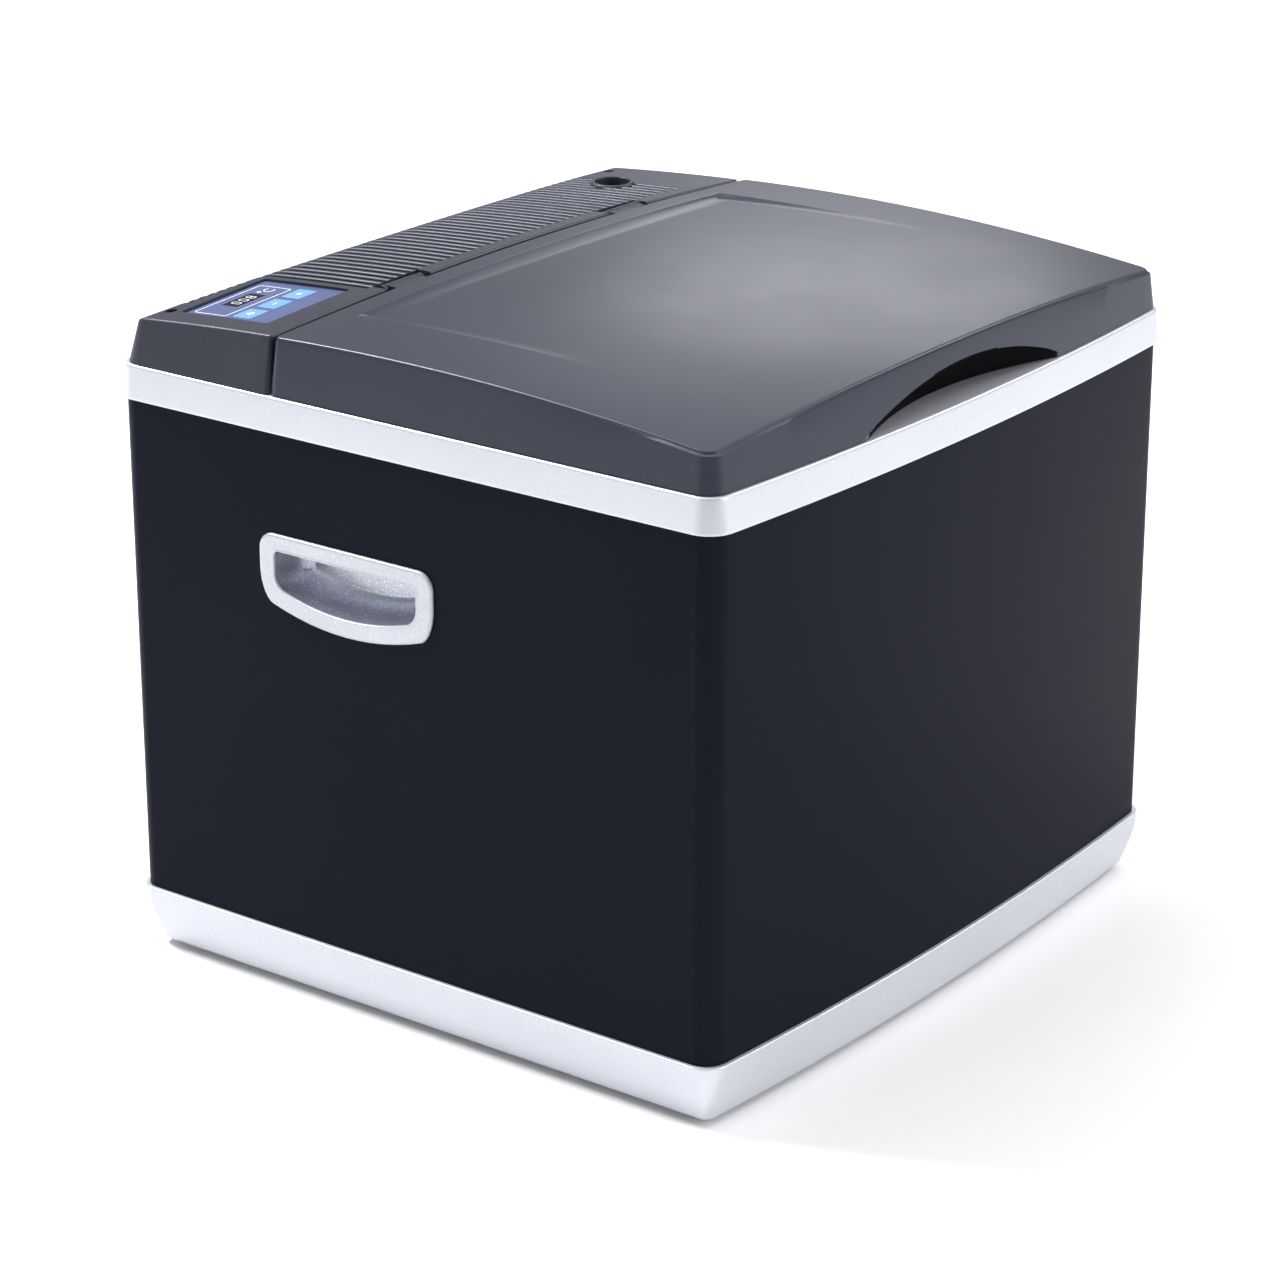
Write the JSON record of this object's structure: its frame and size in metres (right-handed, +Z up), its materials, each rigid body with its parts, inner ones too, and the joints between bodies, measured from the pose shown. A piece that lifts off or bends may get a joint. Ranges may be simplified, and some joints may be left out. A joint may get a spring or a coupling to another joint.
{
  "type": "compressor cooler fridge",
  "caption": "Chest compressor fridge with a crowned hinged lid, side grip pockets, rear machinery compartment under a slotted cover, and a digital control panel.",
  "frame": {"origin": "on the floor, under the middle of the outside box", "axes": "+X across the fridge towards its right side seen from the front, +Y from the bowed front to the back, +Z up"},
  "size_m": [0.5, 0.469, 0.4399],
  "materials": {
    "silver_plastic": "satin",
    "foot_rubber": "matte",
    "casing_steel": "satin",
    "steel_screw": "satin",
    "black_screw": "satin",
    "bin_plastic": "satin",
    "foam": "matte",
    "coil_aluminium": "satin",
    "copper_tube": "satin",
    "dark_plastic": "matte",
    "lid_plastic": "satin",
    "handle_plastic": "satin",
    "fascia_print": "satin",
    "window_plastic": "gloss",
    "display_plastic": "satin",
    "board_laminate": "satin",
    "ribbon_plastic": "satin",
    "plate_steel": "satin",
    "grommet_rubber": "matte",
    "compressor_paint": "gloss",
    "pump_iron": "matte",
    "controller_plastic": "matte",
    "fin_aluminium": "satin",
    "shroud_steel": "satin",
    "fan_plastic": "matte",
    "supply_aluminium": "satin",
    "inlet_plastic": "matte",
    "contact_metal": "polished",
    "hinge_steel": "satin",
    "pin_steel": "polished",
    "gasket_rubber": "matte",
    "key_plastic": "satin",
    "partition_plastic": "matte"
  },
  "bodies": {
    "cabinet": {"base_tray": "silver_plastic", "feet": "foot_rubber", "casing_wrap": "casing_steel", "back_panel": "casing_steel", "back_panel_screws": "black_screw", "top_frame": "silver_plastic", "bin_liner": "bin_plastic", "body_foam": "foam", "evaporator_coil": "coil_aluminium", "temperature_sensor": "copper_tube", "partition_panel": "partition_plastic", "handle_left": "handle_plastic", "handle_right": "handle_plastic", "machinery_cover": "dark_plastic", "cover_screws": "black_screw", "control_fascia": "fascia_print", "display_window": "window_plastic", "display_module": "display_plastic", "control_board": "board_laminate", "board_screws": "steel_screw", "ribbon_cable": "ribbon_plastic", "compressor_plate": "plate_steel", "compressor_grommets": "grommet_rubber", "compressor_bolts": "steel_screw", "compressor_lower_shell": "compressor_paint", "compressor_upper_shell": "compressor_paint", "compressor_pump": "pump_iron", "compressor_controller": "controller_plastic", "condenser_tube": "copper_tube", "condenser_fins": "fin_aluminium", "fan_shroud": "shroud_steel", "fan_frame": "fan_plastic", "fan_screws": "steel_screw", "discharge_line": "copper_tube", "suction_line": "copper_tube", "liquid_line": "copper_tube", "filter_drier": "copper_tube", "capillary_tube": "copper_tube", "power_supply": "supply_aluminium", "mains_inlet": "inlet_plastic", "mains_inlet_pins": "contact_metal", "dc_inlet": "inlet_plastic", "dc_inlet_pins": "contact_metal", "inlet_screws": "steel_screw", "hinge_brackets": "hinge_steel", "hinge_pins": "pin_steel", "bracket_screws": "steel_screw"},
    "lid": {"lid_shell": "lid_plastic", "lid_foam": "foam", "lid_liner": "bin_plastic", "lid_gasket": "gasket_rubber", "lid_hinge_arms": "hinge_steel", "lid_hinge_screws": "steel_screw"},
    "fan_rotor": {"fan_rotor": "fan_plastic"},
    "key_left": {"key_left": "key_plastic"},
    "key_middle": {"key_middle": "key_plastic"},
    "key_right": {"key_right": "key_plastic"}
  },
  "joints": [
    {"name": "lid_hinge", "type": "hinge", "parent": "cabinet", "child": "lid", "pos_m": [0, 0.1155, 0.4304], "axis": [-1, 0, 0], "range_deg": [0, 95]},
    {"name": "fan_spin", "type": "hinge", "parent": "cabinet", "child": "fan_rotor", "pos_m": [0.12, 0.17, 0.076], "axis": [1, 0, 0], "continuous": true},
    {"name": "key_left_press", "type": "slide", "parent": "cabinet", "child": "key_left", "axis": [0.0522, -0.068, -0.9963], "range_m": [0, 0.0004], "stiffness_N_per_m": 500, "springref_m": -0.0006},
    {"name": "key_middle_press", "type": "slide", "parent": "cabinet", "child": "key_middle", "axis": [0.0522, -0.068, -0.9963], "range_m": [0, 0.0004], "stiffness_N_per_m": 500, "springref_m": -0.0006},
    {"name": "key_right_press", "type": "slide", "parent": "cabinet", "child": "key_right", "axis": [0.0522, -0.068, -0.9963], "range_m": [0, 0.0004], "stiffness_N_per_m": 500, "springref_m": -0.0006}
  ]
}
